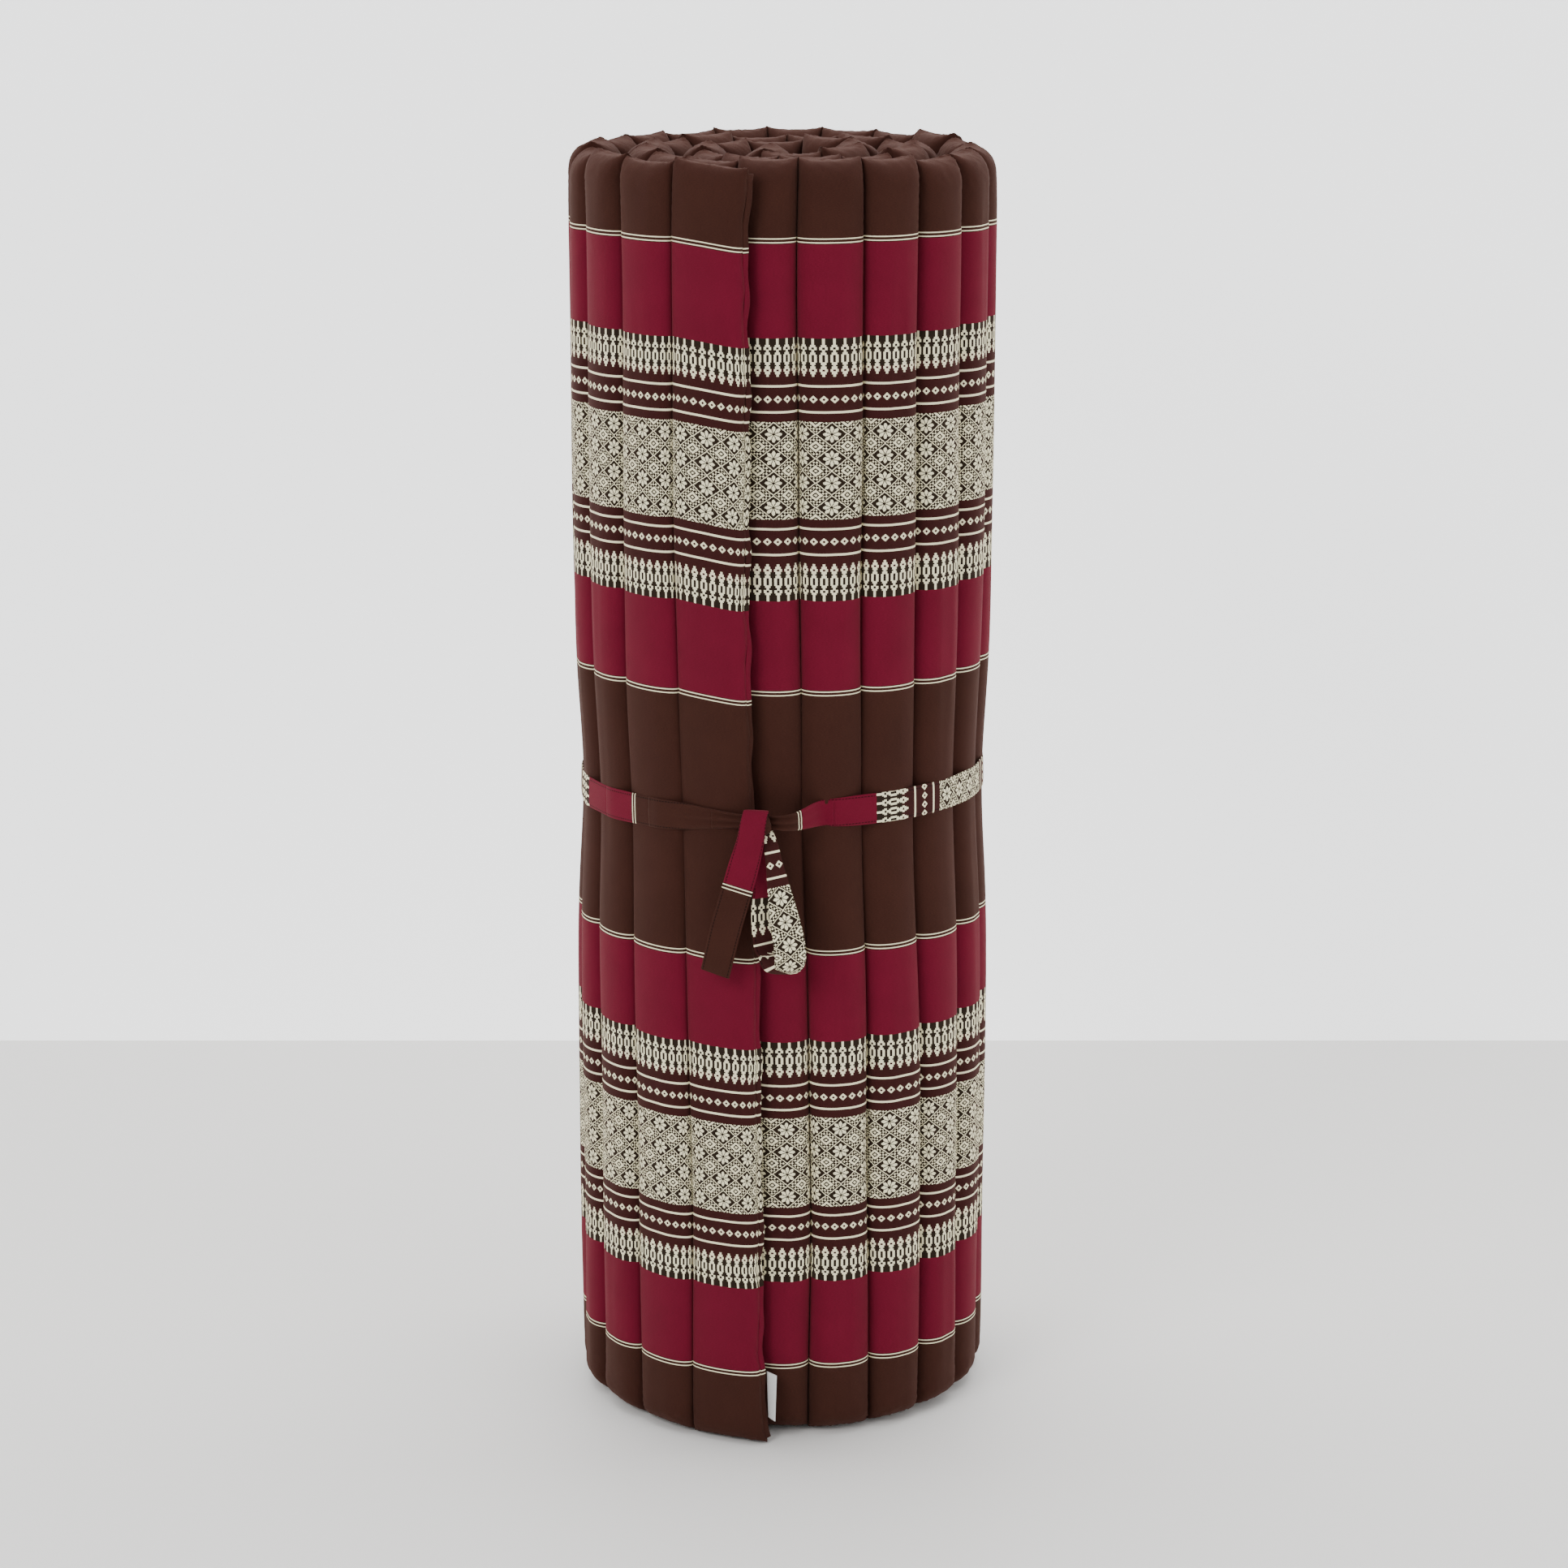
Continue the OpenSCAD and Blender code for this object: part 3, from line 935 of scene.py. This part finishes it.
tie_cotton = woven_cotton("tie_cotton", stitched=10.0 * mm)
sewn_run = nearest_run((seam[sewn] + seam[sewn + 1]) / 2 + outward[sewn] * deep[sewn] / 2)
edges = [0.0]
for i in range(last_channel + 1):
    edges.append(nearest_run((seam[i] + seam[i + 1]) / 2 + outward[i] * deep[i] / 2))
edges.append(strap_length)
straps = []
for k, (start, stop) in enumerate(zip(edges[:-1], edges[1:])):
    if stop - start < 4 * mm:
        continue
    piece = strap_piece(k, start, stop)
    if 0 < k <= last_channel:
        middle = np.array([*seam[k], tie_height])
        step = np.array([*unit(seam[k + 1] - seam[k - 1]), 0]) * 9 * mm
        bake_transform(piece)
    else:
        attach(piece, channel_names[min(k, last_channel)])
    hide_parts("tie_band")
    straps.append(piece)
print(len(straps), "lengths of strap")


# %% [markdown]
# ## Knot, tail and loop
# The tie ends in half a bow: a knot, one loose tail that comes over its front, and one loop. The knot is a
# small bun of gathered cloth. Tail and loop are flat strips on paths drawn through a few points, given in
# millimetres from the knot's middle. They could be simulated, but they would swing free of the shape that
# somebody's fingers gave them. They are flat strips of cloth that hang.

# %% Knot
def knot_bun():
    """An egg on its side, with folds running round it: the radius is a half circle's height times one plus a
    small wave of the angle, and the wave turns as it goes along."""
    rows, around = 40, ring_points
    t = np.linspace(-0.995, 0.995, rows)[:, None]
    q = np.pi - np.linspace(0, 2 * np.pi, around, endpoint=False)[None]
    size = np.sqrt(1 - np.abs(t) ** 2.6)
    folds = 1 + 0.10 * np.sin(5 * q + 1.5 * t) + 0.04 * np.sin(11 * q - 2 * t)
    x = t * 11 * mm + 0 * q
    y = np.cos(q) * size * folds * 7.2 * mm
    z = np.sin(q) * size * folds * 9.5 * mm - 2 * mm * t ** 2
    rings = settled(np.stack([x, y, z], -1) + knot_middle)
    uv = np.stack([0.004 * np.cos(q) + 0 * t, 0.54 + x + 0 * q], -1)
    bun = skin("knot_bun", rings, uv, tie_cotton)
    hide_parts("tie_knot")
    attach(bun, channel_names[0])
    return bun


knot_bun()

# %% Tail
tail_points = [
    (1, 5, 3), (0, 1, 9.5), (-1, -5, 10.5), (-3, -9.5, 3), (-6, -10.5, -12), (-12, -9, -32),
    (-20, -6, -58), (-28, -2, -84), (-36, 2, -116),
]
tail_faces = [
    (0, 0.2, 1), (0, -0.1, 1), (-0.1, -0.8, 1), (-0.1, -1, 0.2), (-0.15, -1, 0), (-0.2, -1, 0),
    (-0.1, -1, 0), (-0.25, -1, 0.05), (-0.35, -1, 0.1),
]
tail_before_knot = 14 * mm
tail_top_cloth = 0.665


def hung_strip(name, node, points, faces, half, body, start_cloth, way, rows=150):
    """A flat strip on a path given from the knot's middle."""
    path = smooth_path(np.array(points) * mm + knot_middle, rows)
    spread = np.linspace(0, 1, len(faces))
    at = np.linspace(0, 1, rows)
    face = np.stack([np.interp(at, spread, np.array(faces, float)[:, k]) for k in range(3)], 1)
    s = run_along(path)
    width_at = np.interp(at, np.linspace(0, 1, len(half)), half)
    ripple = (0.7 * mm * np.sin(s / (11 * mm)) * np.linspace(0, 1, rows))[:, None] * unit(face)
    path = settled(path + ripple)
    strip = ribbon(name, path, face, width_at, 1.5 * mm,
                   np.stack([0 * s, start_cloth + way * s], 1), (1, 0), tie_cotton, 3.4)
    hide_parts(node)
    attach(strip, body)
    return strip


full = strap_half * 0.98
tail_widths = np.array([0.7, 0.86, 0.93, 1, 1, 1, 1, 1]) * full
hung_strip("tail_strip", "tie_tail", tail_points, tail_faces, tail_widths, "tail",
           tail_top_cloth + tail_before_knot, -1)

# %% Loop
loop_points = [
    (7, -1, -6), (10, -7, -14), (12, -8.5, -26), (15, -9, -46), (19, -9.5, -72), (22, -8, -96),
    (20, -3, -111), (13, 2, -113), (7, 3, -100), (4, 2, -74), (5, 1, -44), (6, 1, -12),
]
loop_faces = [
    (0.3, -1, 0.2), (0.3, -1, 0.1), (0.3, -1, 0), (0.25, -1, 0), (0.2, -1, 0), (0.25, -1, -0.3),
    (0.4, -0.6, -1), (0.1, 0.3, -1), (-0.5, 1, -0.3), (-0.6, 1, 0), (-0.5, 1, 0), (-0.3, 1, 0),
]
loop_widths = np.array([0.42, 0.55, 0.8, 1, 1.04, 1, 1, 1, 0.8, 0.5]) * full
loop_top_cloth = 0.692
hung_strip("loop_strip", "tie_loop", loop_points, loop_faces, loop_widths, "loop", loop_top_cloth, 1, 220)


# %% [markdown]
# ## Threads and label
# At the back the strap is sewn on to a channel with a box of stitches and a cross in it. They are real
# threads on the real thing, and close up a painted line would give itself away, so each is a thin rod.
# The label is a blank woven tape caught in the hem.

# %% Stitch box
def stitch_box():
    """Threads on the strap over the channel that it is sewn to: short rods along four sides and a diagonal
    cross, in the plane of the strap there."""
    s0 = sewn_run
    at = np.array([np.interp(s0, strap_run, strap_line[:, k]) for k in range(3)])
    out = np.array([*unit(at[:2] - roll_middle[:2]), 0])
    level = np.array([-out[1], out[0], 0])
    half = 9 * mm
    corners = [(-half, -half), (half, -half), (half, half), (-half, half)]
    lines = [(corners[k], corners[(k + 1) % 4]) for k in range(4)]
    lines += [(corners[0], corners[2]), (corners[1], corners[3])]
    rods = []
    for number, (a, b) in enumerate(lines):
        a, b = np.array(a), np.array(b)
        steps = int(round(np.linalg.norm(b - a) / (3 * mm)))
        for k in range(steps):
            ends = [a + (b - a) * (k + share) / steps for share in (0.08, 0.3, 0.5, 0.7, 0.92)]
            lift = np.array([0.1, 0.5, 0.62, 0.5, 0.1]) * mm + strap_thick / 2 + (number == 5) * 0.3 * mm
            path = np.array([at + level * e[0] + (0, 0, e[1]) + out * h for e, h in zip(ends, lift)])
            rods.append(ribbon(f"stitch_{number}_{k}", path, np.tile(out, (5, 1)), 0.38 * mm, 0.6 * mm,
                               np.zeros((5, 2)), (0, 0), thread_finish, 2.0))
    bpy.ops.object.select_all(action="DESELECT")
    for rod in rods:
        rod.select_set(True)
    bpy.context.view_layer.objects.active = rods[0]
    bpy.ops.object.join()
    threads = bpy.context.object
    threads.name = "stitch_box"
    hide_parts("tie_stitching")
    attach(threads, channel_names[sewn])
    return threads


def plain_cloth(name, color, roughness, rib):
    """A plain woven finish: the colour with fine ribs across v as relief."""
    finish = bpy.data.materials.new(name)
    finish.use_nodes = True
    Field.tree = finish.node_tree
    shader = finish.node_tree.nodes["Principled BSDF"]
    shader.inputs["Roughness"].default_value = roughness
    shader.inputs["Sheen Weight"].default_value = 0.15
    place = finish.node_tree.nodes.new("ShaderNodeTexCoord")
    grain = speckle(place.outputs["Object"], 900, 2)
    parts = finish.node_tree.nodes.new("ShaderNodeSeparateXYZ")
    finish.node_tree.links.new(place.outputs["Object"], parts.inputs[0])
    ribs = (Field(parts.outputs[2]) * (2 * math.pi / rib)).math("SINE")
    tone = finish.node_tree.nodes.new("ShaderNodeHueSaturation")
    tone.inputs["Color"].default_value = color
    finish.node_tree.links.new(((grain - 0.5) * 0.25 + 1.0).socket, tone.inputs["Value"])
    finish.node_tree.links.new(tone.outputs[0], shader.inputs["Base Color"])
    bump = finish.node_tree.nodes.new("ShaderNodeBump")
    bump.inputs["Strength"].default_value = 0.4
    bump.inputs["Distance"].default_value = 0.2 * mm
    finish.node_tree.links.new((ribs + grain).socket, bump.inputs["Height"])
    finish.node_tree.links.new(bump.outputs[0], shader.inputs["Normal"])
    return finish


thread_finish = plain_cloth("thread_finish", linear(214, 200, 172), 0.6, 0.5 * mm)
label_tape = plain_cloth("label_tape", linear(238, 238, 236), 0.5, 0.45 * mm)
stitch_box()

# %% Label
label_low, label_high = (np.array(corner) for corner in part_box("care_label"))
label_plan = plan_corners("care_label")
label_run = label_plan - label_plan.mean(0)
label_way = np.linalg.svd(label_run)[2][0]
label_way = label_way * np.sign(label_way[0])
label_tucked = 3.5 * mm
label_half = np.ptp(label_plan @ label_way) / 2


def label_flap():
    """A blank tape: flat at the hem, curling outwards a little towards its free side and its lower corner."""
    z = np.linspace(label_low[2], label_high[2], 40)
    share = (z - z[0]) / np.ptp(z)
    face = np.array([*(-unit(roll_middle[:2] - label_plan.mean(0))), 0])
    curl = 1.6 * mm * (1 - share) ** 2
    plan = label_plan.mean(0) - label_way * label_tucked + face[:2] * (curl + 2.5 * mm)[:, None]
    path = settled(np.concatenate([plan, z[:, None]], 1))
    turn = np.array([label_way[1], -label_way[0], 0])
    turn = turn * np.sign(turn @ face)
    faces = turn - (0.8 + 0.5 * (1 - share))[:, None] * np.array([*label_way, 0])
    flap = ribbon("label_flap", path, faces, label_half, 0.6 * mm, np.zeros((40, 2)), (0, 0), label_tape, 3.4)
    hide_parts("care_label")
    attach(flap, "label")
    return flap


label_flap()
print("stitches and label are on")
